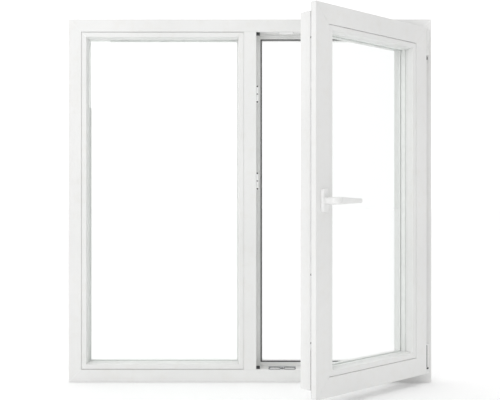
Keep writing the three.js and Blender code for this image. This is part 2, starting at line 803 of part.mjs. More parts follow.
// The overlap gasket lies on the back of the flange. The two hinge straps interrupt it, so the
// length between them is a strip of its own.
const OVERLAP_GASKET = 1.4;
const OVERLAP_GASKET_OUTER = 1.5;
const OVERLAP_GASKET_INNER = 6;
const overlapBack = FLANGE_BACK_Y + GAP + OVERLAP_GASKET;
const overlapRing = ring(
  SASH_RECT,
  OVERLAP_GASKET_OUTER,
  OVERLAP_GASKET_INNER,
  FLANGE_BACK_Y + GAP,
  overlapBack,
);
const hingeSideZone = (zMin, zMax) => block(
  SASH_RIGHT_X - 7,
  SASH_RIGHT_X + 1,
  FLANGE_BACK_Y - 1,
  overlapBack + 1,
  zMin,
  zMax,
);
const overlapStart = SASH_STRAP.bottom - 2;
const overlapEnd = ARM_STRAP.top + 2;
const overlapGasket = cut(overlapRing, hingeSideZone(overlapStart, overlapEnd));
addPart(leaf, 'sash_overlap_gasket', overlapGasket, darkRubber);
addPart(leaf, 'sash_overlap_gasket_hinge_side', block(
  SASH_RIGHT_X - OVERLAP_GASKET_INNER,
  SASH_RIGHT_X - OVERLAP_GASKET_OUTER,
  FLANGE_BACK_Y + GAP,
  overlapBack,
  SASH_STRAP.top + 2,
  ARM_STRAP.bottom - 2,
), darkRubber);

// ---------------------------------------------------------------- sash hardware

const CAM_RADIUS = 3.6;
const CAM_REACH = 6.5;
const ROD_TOP = FLANGE_HEIGHT + SEAT_DEPTH + 0.1;
const ROD_THICKNESS = 3;
const PLATE_TOP = FLANGE_HEIGHT + 0.3;
const PLATE_BOTTOM = PLATE_TOP + 2.4;
const PLATE_HALF_WIDTH = 8;

// A faceplate, a drive rod and its cams lie along X in the groove of a rail whose outer edge is
// Z = 0, with the inside of the sash above.
function facePlate({ start, end }, slots) {
  const plate = block(start, end, -PLATE_HALF_WIDTH, PLATE_HALF_WIDTH, PLATE_TOP, PLATE_BOTTOM);
  const openings = slots.map(([from, to]) => block(
    from,
    to,
    -CAM_RADIUS - 0.5,
    CAM_RADIUS + 0.5,
    PLATE_TOP - 1,
    PLATE_BOTTOM + 1,
  ));
  return cut(plate, ...openings);
}

function camSlot(cam) {
  const half = CAM_TRAVEL + CAM_RADIUS + 0.8;
  return [cam - half, cam + half];
}

function driveRod({ start, end }, cams) {
  const rod = block(start, end, -5, 5, ROD_TOP, ROD_TOP + ROD_THICKNESS);
  const studs = cams.map((cam) => {
    const tip = FLANGE_HEIGHT - CAM_REACH;
    const shaft = post(CAM_RADIUS - 0.8, cam, 0, tip + 0.5, ROD_TOP + 1, 16);
    return join(shaft, post(CAM_RADIUS, cam, 0, tip, tip + 3, 16));
  });
  return join(rod, ...studs);
}

// Lays hardware drawn along X in a groove: upright in the lock stile, or along a rail. Each entry
// gives where the rail's edge is and where the drawing's X, Y and Z axes point.
const GROOVE_PLACES = {
  left: { x: SASH_LEFT_X, z: 0, axes: [[0, 0, 1], [0, -1, 0], [1, 0, 0]] },
  bottom: { x: 0, z: SASH_BOTTOM_Z, axes: [[1, 0, 0], [0, 1, 0], [0, 0, 1]] },
  top: { x: 0, z: SASH_TOP_Z, axes: [[1, 0, 0], [0, -1, 0], [0, 0, -1]] },
};

function placeInGroove(mesh, side) {
  const { x, z, axes } = GROOVE_PLACES[side];
  const [alongAxis, acrossAxis, inwardAxis] = axes.map((axis) => new THREE.Vector3(...axis));
  const turn = new THREE.Matrix4().makeBasis(alongAxis, acrossAxis, inwardAxis);
  mesh.position.set(x, GROOVE_Y, z);
  mesh.quaternion.setFromRotationMatrix(turn);
}

const LOCK_CAMS_Z = Object.values(MULLION_STRIKERS_Z).map((z) => z - CAM_OFFSET);
const TOP_CAM_X = HEAD_STRIKER_X - CAM_OFFSET;
const TILT_CAM_X = 133;
const LOCK_PLATE = { start: 170, end: 1130 };
const RAIL_PLATE = { start: 46, end: 174 };
const LOCK_ROD = { start: 110, end: 1090 };
const RAIL_ROD = { start: 62, end: 168 };
const GEARBOX_SLOT = [572, 604];

function addGrooveHardware(name, geometry, side, material) {
  placeInGroove(addPart(leaf, name, geometry, material), side);
}

const lockPlate = facePlate(LOCK_PLATE, [...LOCK_CAMS_Z.map(camSlot), GEARBOX_SLOT]);
addGrooveHardware('lock_faceplate', lockPlate, 'left', brightSteel);
const topPlate = facePlate(RAIL_PLATE, [camSlot(TOP_CAM_X)]);
addGrooveHardware('top_faceplate', topPlate, 'top', brightSteel);
const lockRod = driveRod(LOCK_ROD, LOCK_CAMS_Z);
addGrooveHardware('lock_drive_rod', lockRod, 'left', brightSteel);
const topRod = driveRod(RAIL_ROD, [TOP_CAM_X]);
addGrooveHardware('top_drive_rod', topRod, 'top', brightSteel);
const bottomRod = driveRod(RAIL_ROD, [TILT_CAM_X]);
addGrooveHardware('bottom_drive_rod', bottomRod, 'bottom', brightSteel);

const GEARBOX_HALF_THICKNESS = 5.6;
const GEARBOX_BACK = 47;
const GEARBOX_BORE_RADIUS = 5.4;
const gearbox = cut(
  block(
    SASH_LEFT_X + ROD_TOP + ROD_THICKNESS + 2 * GAP,
    SASH_LEFT_X + GEARBOX_BACK,
    GROOVE_Y - GEARBOX_HALF_THICKNESS,
    GROOVE_Y + GEARBOX_HALF_THICKNESS,
    HANDLE_Z - GEARBOX_HALF_HEIGHT,
    HANDLE_Z + GEARBOX_HALF_HEIGHT,
  ),
  studAlongY(GEARBOX_BORE_RADIUS, SPINDLE_X, HANDLE_Z, GROOVE_Y - 20, GROOVE_Y + 20),
);
addPart(leaf, 'gearbox', gearbox, zincCasting);

// ---------------------------------------------------------------- handle

const ROSETTE = { width: 30, height: 68, depth: 11, corner: 9, rounding: 1.5 };
const NECK_RADIUS = 9.5;
const LEVER = { thickness: 12, rootHalf: 9.5, tipHalf: 5.5, rounding: 1.5, crown: 2 };

function capsuleShape(halfWidth, halfHeight, radius) {
  const shape = new THREE.Shape();
  shape.moveTo(-halfWidth + radius, -halfHeight);
  shape.lineTo(halfWidth - radius, -halfHeight);
  shape.absarc(halfWidth - radius, -halfHeight + radius, radius, -Math.PI / 2, 0);
  shape.absarc(halfWidth - radius, halfHeight - radius, radius, 0, Math.PI / 2);
  shape.absarc(-halfWidth + radius, halfHeight - radius, radius, Math.PI / 2, Math.PI);
  shape.absarc(-halfWidth + radius, -halfHeight + radius, radius, Math.PI, Math.PI * 1.5);
  return shape;
}

const rosetteOutline = capsuleShape(
  ROSETTE.width / 2 - ROSETTE.rounding,
  ROSETTE.height / 2 - ROSETTE.rounding,
  ROSETTE.corner,
);
const rosetteBody = new THREE.ExtrudeGeometry(polygonOf(rosetteOutline, 6), {
  depth: ROSETTE.depth - ROSETTE.rounding - GAP,
  bevelEnabled: true,
  bevelSegments: 2,
  bevelSize: ROSETTE.rounding,
  bevelThickness: ROSETTE.rounding,
});
rosetteBody.rotateX(Math.PI / 2);
rosetteBody.translate(SPINDLE_X, SASH_FRONT_Y - GAP, HANDLE_Z);
const rosetteTrim = block(
  SPINDLE_X - 40,
  SPINDLE_X + 40,
  SASH_FRONT_Y - GAP,
  SASH_FRONT_Y + 10,
  HANDLE_Z - 60,
  HANDLE_Z + 60,
);
const rosetteBore = studAlongY(
  NECK_RADIUS + 0.4,
  SPINDLE_X,
  HANDLE_Z,
  SASH_FRONT_Y - 30,
  SASH_FRONT_Y + 5,
);
addPart(leaf, 'handle_rosette', cut(rosetteBody, rosetteTrim, rosetteBore), whitePaint);

// The lever points towards the hinge side, where it lets the sash turn.
function leverGrip() {
  const { thickness, rootHalf, tipHalf, rounding, crown } = LEVER;
  const tipX = HANDLE_GRIP - tipHalf - rounding / 2;
  const shape = new THREE.Shape();
  shape.moveTo(0, -rootHalf);
  shape.lineTo(tipX, -tipHalf);
  shape.absarc(tipX, 0, tipHalf, -Math.PI / 2, Math.PI / 2);
  shape.lineTo(0, rootHalf);
  shape.absarc(0, 0, rootHalf, Math.PI / 2, Math.PI * 1.5);
  const geometry = new THREE.ExtrudeGeometry(polygonOf(shape, 8), {
    depth: thickness - 2 * crown,
    bevelEnabled: true,
    bevelSegments: 3,
    bevelSize: rounding,
    bevelThickness: crown,
  });
  geometry.rotateX(Math.PI / 2);
  const frontY = SASH_FRONT_Y - HANDLE_STANDOFF + thickness / 2 - crown;
  geometry.translate(SPINDLE_X, frontY, HANDLE_Z);
  return geometry;
}

const neck = studAlongY(
  NECK_RADIUS,
  SPINDLE_X,
  HANDLE_Z,
  SASH_FRONT_Y - HANDLE_STANDOFF,
  SASH_FRONT_Y - 1,
);
addPart(leaf, 'handle_lever', join(leverGrip(), neck), whitePaint);

const SPINDLE_HALF = 3.5;
addPart(leaf, 'handle_spindle', block(
  SPINDLE_X - SPINDLE_HALF,
  SPINDLE_X + SPINDLE_HALF,
  SASH_FRONT_Y - 0.7,
  GROOVE_Y + GEARBOX_HALF_THICKNESS - GAP,
  HANDLE_Z - SPINDLE_HALF,
  HANDLE_Z + SPINDLE_HALF,
), brightSteel);

export default part;
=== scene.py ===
"""Two-light uPVC window with a fixed light and an open tilt-and-turn sash, dressed for rendering.

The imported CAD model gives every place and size. Pieces that belong to the sash are drawn in its
shut position, and one matrix turns them into the rest pose. Metres throughout.
"""

import json
import math

import bmesh
import bpy
from mathutils import Matrix, Vector


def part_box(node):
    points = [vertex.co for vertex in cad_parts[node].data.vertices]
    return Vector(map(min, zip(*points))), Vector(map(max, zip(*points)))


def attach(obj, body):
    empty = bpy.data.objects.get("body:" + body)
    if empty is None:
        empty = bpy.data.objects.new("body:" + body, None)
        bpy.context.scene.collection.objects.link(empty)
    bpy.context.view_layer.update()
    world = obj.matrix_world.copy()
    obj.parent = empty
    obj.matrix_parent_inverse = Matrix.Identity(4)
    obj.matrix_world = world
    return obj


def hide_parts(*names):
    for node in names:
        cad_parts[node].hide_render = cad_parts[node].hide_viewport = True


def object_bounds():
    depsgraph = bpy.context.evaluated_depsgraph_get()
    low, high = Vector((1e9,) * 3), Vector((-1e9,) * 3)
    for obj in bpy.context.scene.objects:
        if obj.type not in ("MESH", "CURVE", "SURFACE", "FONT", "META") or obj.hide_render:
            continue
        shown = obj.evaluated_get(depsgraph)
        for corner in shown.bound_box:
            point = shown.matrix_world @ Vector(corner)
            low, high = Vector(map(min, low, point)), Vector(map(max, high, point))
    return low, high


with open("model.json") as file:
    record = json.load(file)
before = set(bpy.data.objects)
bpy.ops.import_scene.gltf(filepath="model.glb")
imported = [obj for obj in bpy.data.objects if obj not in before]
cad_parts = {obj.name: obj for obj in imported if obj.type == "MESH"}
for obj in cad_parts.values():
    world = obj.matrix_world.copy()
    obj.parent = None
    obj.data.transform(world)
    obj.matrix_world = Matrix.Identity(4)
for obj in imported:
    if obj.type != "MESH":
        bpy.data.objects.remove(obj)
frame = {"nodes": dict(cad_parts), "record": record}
nodes = frame["nodes"]
record = frame["record"]
cad_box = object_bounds()

MM = 0.001

# ---------------------------------------------------------------- the sash, shut and at rest

turn = next(joint for joint in record["behaviour"]["joints"] if joint["name"] == "sash_turn")
hinge_axis = Vector(turn["pos_m"])
rest_opening = -math.radians(turn["range_deg"][0])
SHUT_TO_REST = (
    Matrix.Translation(hinge_axis)
    @ Matrix.Rotation(rest_opening, 4, "Z")
    @ Matrix.Translation(-hinge_axis)
)
REST_TO_SHUT = SHUT_TO_REST.inverted()
IN_PLACE = Matrix.Identity(4)


def shut_box(name):
    """Lowest and highest corner of a sash node in the shut position."""
    points = [REST_TO_SHUT @ v.co for v in nodes[name].data.vertices]
    low = Vector(min(p[i] for p in points) for i in range(3))
    high = Vector(max(p[i] for p in points) for i in range(3))
    return low, high


# ---------------------------------------------------------------- materials

# Noise values seldom leave this span, so it is what gets stretched over a roughness range.
NOISE_LOW = 0.3
NOISE_HIGH = 0.7


class Surface:
    """A principled material whose inputs are fed by procedural nodes in object coordinates."""

    def __init__(self, name, color, roughness, **constants):
        self.material = bpy.data.materials.new(name)
        self.material.use_nodes = True
        self.tree = self.material.node_tree
        self.shader = self.tree.nodes["Principled BSDF"]
        self.shader.inputs["Base Color"].default_value = (*color, 1)
        self.shader.inputs["Roughness"].default_value = roughness
        for socket, value in constants.items():
            self.shader.inputs[socket.replace("_", " ")].default_value = value
        self.coords = self.add("ShaderNodeTexCoord").outputs["Object"]
        self.normal = None

    def add(self, kind, **settings):
        node = self.tree.nodes.new(kind)
        for key, value in settings.items():
            setattr(node, key, value)
        return node

    def link(self, source, target):
        self.tree.links.new(source, target)

    def noise(self, scale, detail, stretch=(1, 1, 1)):
        mapping = self.add("ShaderNodeMapping")
        mapping.inputs["Scale"].default_value = stretch
        self.link(self.coords, mapping.inputs["Vector"])
        node = self.add("ShaderNodeTexNoise")
        node.inputs["Scale"].default_value = scale
        node.inputs["Detail"].default_value = detail
        self.link(mapping.outputs["Vector"], node.inputs["Vector"])
        return node.outputs["Fac"]

    def ramp(self, source, low, high, start=0.35, end=0.65):
        node = self.add("ShaderNodeValToRGB")
        node.color_ramp.elements[0].position = start
        node.color_ramp.elements[0].color = (*low, 1)
        node.color_ramp.elements[1].position = end
        node.color_ramp.elements[1].color = (*high, 1)
        self.link(source, node.inputs["Fac"])
        return node.outputs["Color"]

    def darkened(self, color, shade):
        """Colour multiplied by a shade."""
        node = self.add("ShaderNodeMix", data_type="RGBA", blend_type="MULTIPLY")
        sockets = {socket.name: socket for socket in node.inputs if socket.enabled}
        sockets["Factor"].default_value = 1.0
        self.link(color, sockets["A"])
        self.link(shade, sockets["B"])
        return next(socket for socket in node.outputs if socket.enabled)

    def color(self, source):
        self.link(source, self.shader.inputs["Base Color"])

    def rough(self, source, low, high):
        node = self.add("ShaderNodeMapRange")
        node.inputs["From Min"].default_value = NOISE_LOW
        node.inputs["From Max"].default_value = NOISE_HIGH
        node.inputs["To Min"].default_value = low
        node.inputs["To Max"].default_value = high
        self.link(source, node.inputs["Value"])
        self.link(node.outputs["Result"], self.shader.inputs["Roughness"])

    def bump(self, source, strength, distance):
        """Adds relief on top of the relief that is already there."""
        node = self.add("ShaderNodeBump")
        node.inputs["Strength"].default_value = strength
        node.inputs["Distance"].default_value = distance
        self.link(source, node.inputs["Height"])
        if self.normal is not None:
            self.link(self.normal, node.inputs["Normal"])
        self.normal = node.outputs["Normal"]
        self.link(self.normal, self.shader.inputs["Normal"])


def vinyl():
    """Extruded white uPVC: satin, with faint die lines, cloudiness and dust in patches."""
    surface = Surface("white_vinyl", (0.81, 0.81, 0.8), 0.36, Specular_IOR_Level=0.45)
    clouds = surface.noise(scale=3.2, detail=6)
    grain = surface.noise(scale=420, detail=2)
    dust = surface.noise(scale=38, detail=8)
    smears = surface.noise(scale=16, detail=6)
    die_lines = surface.noise(scale=60, detail=3, stretch=(1, 1, 0.02))
    clean = surface.ramp(clouds, (0.79, 0.79, 0.782), (0.83, 0.83, 0.822))
    dusty = surface.ramp(dust, (0.985, 0.98, 0.97), (1, 1, 1), start=0.3, end=0.5)
    surface.color(surface.darkened(clean, dusty))
    surface.rough(smears, 0.3, 0.43)
    surface.bump(grain, strength=0.12, distance=0.2 * MM)
    surface.bump(die_lines, strength=0.05, distance=0.2 * MM)
    return surface.material


def powder_coat():
    """White powder-coated hardware with its orange-peel skin."""
    surface = Surface(
        "white_hardware", (0.82, 0.82, 0.81), 0.3, Coat_Weight=0.25, Coat_Roughness=0.2
    )
    clouds = surface.noise(scale=30, detail=5)
    surface.color(surface.ramp(clouds, (0.795, 0.795, 0.785), (0.84, 0.84, 0.835)))
    surface.rough(surface.noise(scale=90, detail=4), 0.24, 0.38)
    surface.bump(surface.noise(scale=900, detail=2), strength=0.15, distance=0.1 * MM)
    return surface.material


def rubber(name, dark, light):
    """Extruded EPDM with a dusty bloom and a fine grain."""
    surface = Surface(name, light, 0.7, Specular_IOR_Level=0.3)
    surface.color(surface.ramp(surface.noise(scale=70, detail=6), dark, light))
    surface.rough(surface.noise(scale=120, detail=4), 0.6, 0.82)
    surface.bump(surface.noise(scale=1500, detail=3), strength=0.3, distance=0.1 * MM)
    return surface.material


def plated_steel(name, dark, light, smooth, rough):
    """Plated strip steel, brushed along its height, with a patchy passivation tint."""
    surface = Surface(name, light, smooth, Metallic=1.0)
    brushed = surface.noise(scale=900, detail=3, stretch=(1, 1, 0.03))
    tint = surface.ramp(surface.noise(scale=22, detail=6), dark, light)
    lines = surface.ramp(brushed, (0.86, 0.86, 0.86), (1, 1, 1))
    surface.color(surface.darkened(tint, lines))
    surface.rough(brushed, smooth, rough)
    surface.bump(brushed, strength=0.2, distance=0.1 * MM)
    return surface.material


def casting():
    """Silver-coated zinc die casting with a fine grain."""
    surface = Surface("zinc_casting", (0.55, 0.56, 0.56), 0.42, Metallic=0.85)
    clouds = surface.noise(scale=45, detail=6)
    surface.color(surface.ramp(clouds, (0.47, 0.48, 0.48), (0.62, 0.63, 0.63)))
    surface.rough(surface.noise(scale=200, detail=4), 0.36, 0.55)
    surface.bump(surface.noise(scale=1400, detail=3), strength=0.35, distance=0.2 * MM)
    return surface.material


def warm_edge_spacer():
    """White foam spacer with fine desiccant pinholes."""
    surface = Surface("glazing_spacer", (0.89, 0.89, 0.88), 0.6)
    clouds = surface.noise(scale=60, detail=5)
    surface.color(surface.ramp(clouds, (0.86, 0.86, 0.85), (0.92, 0.92, 0.91)))
    holes = surface.add("ShaderNodeTexVoronoi")
    holes.inputs["Scale"].default_value = 260
    surface.link(surface.coords, holes.inputs["Vector"])
    surface.bump(holes.outputs["Distance"], strength=0.25, distance=0.3 * MM)
    return surface.material


def float_glass():
    """Clear float glass with a very slight waviness.

    Shadow rays and scattered light pass straight through, so the rebates behind it are lit.
    """
    surface = Surface(
        "clear_glass", (0.99, 0.995, 0.992), 0.0, Transmission_Weight=1.0, IOR=1.45
    )
    surface.bump(surface.noise(scale=2.5, detail=2), strength=0.03, distance=0.5 * MM)
    clear = surface.add("ShaderNodeBsdfTransparent")
    clear.inputs["Color"].default_value = (0.97, 0.98, 0.975, 1)
    rays = surface.add("ShaderNodeLightPath")
    seen = surface.shader.outputs["BSDF"]
    for ray in ("Is Shadow Ray", "Is Diffuse Ray"):
        mix = surface.add("ShaderNodeMixShader")
        surface.link(rays.outputs[ray], mix.inputs[0])
        surface.link(seen, mix.inputs[1])
        surface.link(clear.outputs["BSDF"], mix.inputs[2])
        seen = mix.outputs["Shader"]
    surface.link(seen, surface.tree.nodes["Material Output"].inputs["Surface"])
    return surface.material


MATERIALS = {
    "white_vinyl": vinyl(),
    "white_hardware": powder_coat(),
    "dark_seal": rubber("dark_seal", (0.04, 0.042, 0.045), (0.075, 0.077, 0.08)),
    "light_seal": rubber("light_seal", (0.85, 0.85, 0.84), (0.91, 0.91, 0.9)),
    "glazing_spacer": warm_edge_spacer(),
    "galvanised_steel": plated_steel(
        "galvanised_steel", (0.46, 0.48, 0.5), (0.62, 0.64, 0.66), 0.38, 0.55
    ),
    "bright_steel": plated_steel("bright_steel", (0.82, 0.82, 0.82), (0.93, 0.93, 0.93), 0.3, 0.42),
    # Near-black steel. On the screws, the corner pivot and its skirt it is painted shade for
    # shadowed recesses and gaps.
    "dark_steel": plated_steel("dark_steel", (0.02, 0.02, 0.021), (0.06, 0.06, 0.062), 0.4, 0.55),
    "zinc_casting": casting(),
    "clear_glass": float_glass(),
}

# ---------------------------------------------------------------- dressing the CAD nodes

SOFT_EDGE_ANGLE = math.radians(30)
LONG_EDGE_SHARE = 0.6
PROFILE_ROUNDING = 1.0 * MM
EDGE_ROUNDING = {
    "white_hardware": 0.6 * MM,
    "zinc_casting": 0.4 * MM,
    "bright_steel": 0.25 * MM,
    "dark_steel": 0.4 * MM,
    "clear_glass": 0.4 * MM,
}


def dress(obj, slot_name):
    obj.data.materials.clear()
    obj.data.materials.append(MATERIALS[slot_name])


def soften(obj, width, segments=2):
    """Rounds the sharp edges of a hard piece, as a mould leaves them."""
    bevel = obj.modifiers.new("soft_edges", "BEVEL")
    bevel.width = width
    bevel.segments = segments
    bevel.limit_method = "ANGLE"
    bevel.angle_limit = SOFT_EDGE_ANGLE
    bevel.harden_normals = True
    for polygon in obj.data.polygons:
        polygon.use_smooth = True
    return bevel


def soften_profile(obj, width):
    """Rounds only the long edges of an extruded bar, as a die does, not its cut ends."""
    mesh = obj.data
    lengths = [
        (mesh.vertices[edge.vertices[0]].co - mesh.vertices[edge.vertices[1]].co).length
        for edge in mesh.edges
    ]
    long_edge = LONG_EDGE_SHARE * max(lengths)
    weights = mesh.attributes.new("bevel_weight_edge", "FLOAT", "EDGE")
    for edge, length in zip(mesh.edges, lengths):
        weights.data[edge.index].value = 1.0 if length > long_edge else 0.0
    bevel = soften(obj, width, segments=3)
    bevel.limit_method = "WEIGHT"


for part in record["subparts"]:
    node = nodes[part["node"]]
    slot = part["material_slot"]
    dress(node, slot)
    if slot == "white_vinyl":
        soften_profile(node, PROFILE_ROUNDING)
    elif slot in EDGE_ROUNDING:
        soften(node, EDGE_ROUNDING[slot])

# ---------------------------------------------------------------- making new pieces

SHARP_FACE_ANGLE = math.radians(40)


def build_piece(name, skin, slot_name, body, place=SHUT_TO_REST):
    """Makes a shaded mesh from points and faces, puts it in place and lets it ride on a body."""
    points, faces = skin
    shell = bmesh.new()
    verts = [shell.verts.new(place @ Vector(point)) for point in points]
    for face in faces:
        shell.faces.new([verts[i] for i in face])
    bmesh.ops.recalc_face_normals(shell, faces=shell.faces)
    mesh = bpy.data.meshes.new(name)
    shell.to_mesh(mesh)
    shell.free()
    mesh.polygons.foreach_set("use_smooth", [True] * len(mesh.polygons))
    mesh.set_sharp_from_angle(angle=SHARP_FACE_ANGLE)
    piece = bpy.data.objects.new(name, mesh)
    bpy.context.scene.collection.objects.link(piece)
    dress(piece, slot_name)
    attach(piece, body)
    return piece


def skin_rings(rings, wrap=False):
    """Points and faces of a skin over equal rings, whose ends are capped unless it wraps."""
    steps = len(rings[0])
    count = len(rings)
    points = [point for ring in rings for point in ring]
    faces = []
    for r in range(count if wrap else count - 1):
        near = r * steps
        far = (r + 1) % count * steps
        for i in range(steps):
            j = (i + 1) % steps
            faces.append((near + i, near + j, far + j, far + i))
    if not wrap:
        faces.append(tuple(range(steps)))
        faces.append(tuple(range((count - 1) * steps, count * steps)))
    return points, faces


def circle_angles(steps):
    return [2 * math.pi * i / steps for i in range(steps)]


def turned(profile, steps=48):
    """Skin of a round solid about Z, from its (radius, height) profile."""
    angles = circle_angles(steps)
    return skin_rings(
        [[(r * math.cos(a), r * math.sin(a), h) for a in angles] for r, h in profile]
    )


def superellipse(steps, power):
    """Outline between an oval and a rectangle, as (across, upwards) pairs from -1 to 1."""
    outline = []
    for a in circle_angles(steps):
        across = math.copysign(abs(math.cos(a)) ** (2 / power), math.cos(a))
        upwards = math.copysign(abs(math.sin(a)) ** (2 / power), math.sin(a))
        outline.append((across, upwards))
    return outline


def blend(start, end, t):
    return start + (end - start) * t


def facing(location, direction):
    """Matrix that stands a piece drawn along Z at a place, pointing in a direction."""
    turn_to = Vector(direction).to_track_quat("Z", "Y").to_matrix().to_4x4()
    return Matrix.Translation(location) @ turn_to


TO_ROOM = (0, -1, 0)
TO_LOCK_SIDE = (-1, 0, 0)
ON_HINGE_AXIS = Matrix.Translation((hinge_axis.x, hinge_axis.y, 0))

# ---------------------------------------------------------------- hinges

corner_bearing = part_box("corner_bearing")
stay_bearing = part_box("stay_bearing")
hinge_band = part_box("sash_hinge_band")
stay_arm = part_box("stay_arm")

SLEEVE_PROUD = 0.25 * MM
SLEEVE_RADIUS = (stay_bearing[1].x - stay_bearing[0].x) / 2 + SLEEVE_PROUD
SLEEVE_OVERHANG = 0.05 * MM
SLEEVE_EDGE = 1.4 * MM
SLEEVE_EDGE_STEPS = 4
KNUCKLE_GAP = 0.3 * MM


def add_hinge_sleeve(name, bottom, top, body):
    """Smooth round cover of a knuckle, with softly rounded ends."""
    profile = []
    for end, sign in ((bottom - SLEEVE_OVERHANG, 1), (top + SLEEVE_OVERHANG, -1)):
        arc = []
        for step in range(SLEEVE_EDGE_STEPS + 1):
            lean = math.pi / 2 * step / SLEEVE_EDGE_STEPS
            radius = SLEEVE_RADIUS - SLEEVE_EDGE * (1 - math.sin(lean))
            arc.append((radius, end + sign * SLEEVE_EDGE * (1 - math.cos(lean))))
        profile += arc if sign > 0 else arc[::-1]
    build_piece(name, turned(profile), "white_hardware", body, ON_HINGE_AXIS)


add_hinge_sleeve("corner_bearing_sleeve", corner_bearing[0].z, corner_bearing[1].z, "frame")
add_hinge_sleeve("stay_bearing_sleeve", stay_bearing[0].z, stay_bearing[1].z, "frame")
add_hinge_sleeve("hinge_band_sleeve", hinge_band[0].z, hinge_band[1].z, "sash")
add_hinge_sleeve("stay_arm_sleeve", stay_arm[0].z, stay_bearing[0].z - KNUCKLE_GAP, "stay_arm")

# The painted shade line is an arc of the sleeve on the sash's side, counted from +X with the sash
# shut.
SHADE_LINE_FROM = math.radians(205)
SHADE_LINE_TO = math.radians(238)
SHADE_LINE_STEPS = 8
SHADE_LINE_TOP_SETBACK = 3 * SLEEVE_EDGE
SHADE_LINE_SUNK = 0.1 * MM
SHADE_LINE_THICKNESS = 0.5 * MM


def add_band_shade_line():
    """Dark strip between the sash edge and the lower hinge sleeve: painted shade for the shadow in
    that gap.
    """
    inner = SLEEVE_RADIUS - SHADE_LINE_SUNK
    outer = inner + SHADE_LINE_THICKNESS
    angles = [SHADE_LINE_FROM + (SHADE_LINE_TO - SHADE_LINE_FROM) * i / SHADE_LINE_STEPS for i in range(SHADE_LINE_STEPS + 1)]
    outline = [(outer, a) for a in angles] + [(inner, a) for a in reversed(angles)]
    rings = [
        [(hinge_axis.x + r * math.cos(a), hinge_axis.y + r * math.sin(a), z) for r, a in outline]
        for z in (hinge_band[0].z + SLEEVE_EDGE, hinge_band[1].z - SHADE_LINE_TOP_SETBACK)
    ]
    build_piece("hinge_band_shade_line", skin_rings(rings), "dark_seal", "sash")


add_band_shade_line()

CAP_EDGE = 0.5 * MM
PIVOT_SHADE_SKIRT_RADIUS = 7.7 * MM
PIVOT_SHADE_SKIRT_HEIGHT = 4.6 * MM
PIN_CAP_RADIUS = 4.4 * MM
PIN_CAP_HEIGHT = 9 * MM
PIN_CAP_BELOW = 0.5 * MM


def add_axle_cap(name, radius, bottom, height, body):
    """Black cap on the hinge axis, with a small chamfer at both ends."""
    top = bottom + height
    profile = (
        (radius - CAP_EDGE, bottom),
        (radius, bottom + CAP_EDGE),
        (radius, top - CAP_EDGE),
        (radius - CAP_EDGE, top),
    )
    build_piece(name, turned(profile), "dark_steel", body, ON_HINGE_AXIS)


# The black skirt round the corner pivot, in the gap above the corner bearing, is painted shade for
# the shadowed pivot neck.
shade_skirt_bottom = corner_bearing[1].z + KNUCKLE_GAP
pin_cap_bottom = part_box("stay_bearing_pin")[0].z - PIN_CAP_BELOW
add_axle_cap(
    "corner_pivot_shade_skirt", PIVOT_SHADE_SKIRT_RADIUS, shade_skirt_bottom, PIVOT_SHADE_SKIRT_HEIGHT, "hinge_pivot"
)
add_axle_cap("stay_pin_cap", PIN_CAP_RADIUS, pin_cap_bottom, PIN_CAP_HEIGHT, "frame")

# ---------------------------------------------------------------- handle

LEVER_STEPS = 40
LEVER_NECK = 9.5 * MM
LEVER_NECK_POWER = 2
LEVER_NECK_STAGES = (0, 0.3, 0.6)
LEVER_BEND = 13 * MM
LEVER_BEND_STEPS = 10
LEVER_HALF_THICKNESS = 6 * MM
LEVER_GRIP_STEPS = 8
LEVER_GRIP_POWER = 2.6
LEVER_TIP_HALF_HEIGHT = 6.6 * MM
LEVER_TIP_HALF_THICKNESS = 5 * MM
LEVER_TIP_LENGTH = 3 * MM
LEVER_TIP_STEPS = 5
LEVER_TIP_LEAN = math.radians(85)
LEVER_TIP_BLUNTNESS = 0.5
ALONG_X = Vector((1, 0, 0))
ALONG_Y = Vector((0, 1, 0))


def oval(center, normal, half_height, half_thickness, power):
    """Superellipse about a centre, tall along Z and thick along its normal."""
    return [
        center + normal * half_thickness * across + Vector((0, 0, half_height * upwards))
        for across, upwards in superellipse(LEVER_STEPS, power)
    ]


